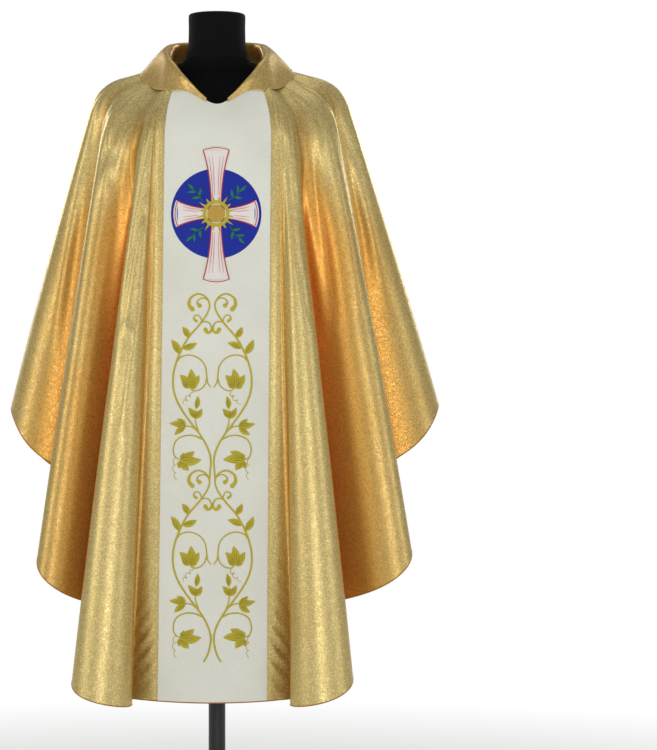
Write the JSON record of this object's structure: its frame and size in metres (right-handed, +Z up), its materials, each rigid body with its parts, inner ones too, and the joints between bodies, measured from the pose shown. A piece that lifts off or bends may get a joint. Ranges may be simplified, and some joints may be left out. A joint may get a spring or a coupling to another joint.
{
  "type": "gothic chasuble on a limbless dress form",
  "caption": "Full, folded gold chasuble with pale centre panels and a turned-down pointed collar, hung on a headless torso form with a pole and round base.",
  "frame": {"origin": "centre of the stand base's underside, on the floor", "axes": "+Z up along the pole, -Y towards the chasuble's front, +X towards the wearer's left"},
  "size_m": [0.8115, 0.5023, 1.554],
  "materials": {
    "gold_lame": "woven metallic yarn, satin glitter",
    "cream_moire": "fine plain weave, matt",
    "black_jersey": "knit, matt",
    "black_steel": "powder coat",
    "embroidery": "rayon satin stitch"
  },
  "bodies": {
    "root": {"front_panel": "cream_moire", "back_panel": "cream_moire", "front_left": "gold_lame", "front_right": "gold_lame", "back_left": "gold_lame", "back_right": "gold_lame", "collar": "gold_lame", "form_torso": "black_jersey", "form_neck": "black_jersey", "stand_pole": "black_steel", "stand_base": "black_steel"}
  },
  "joints": []
}
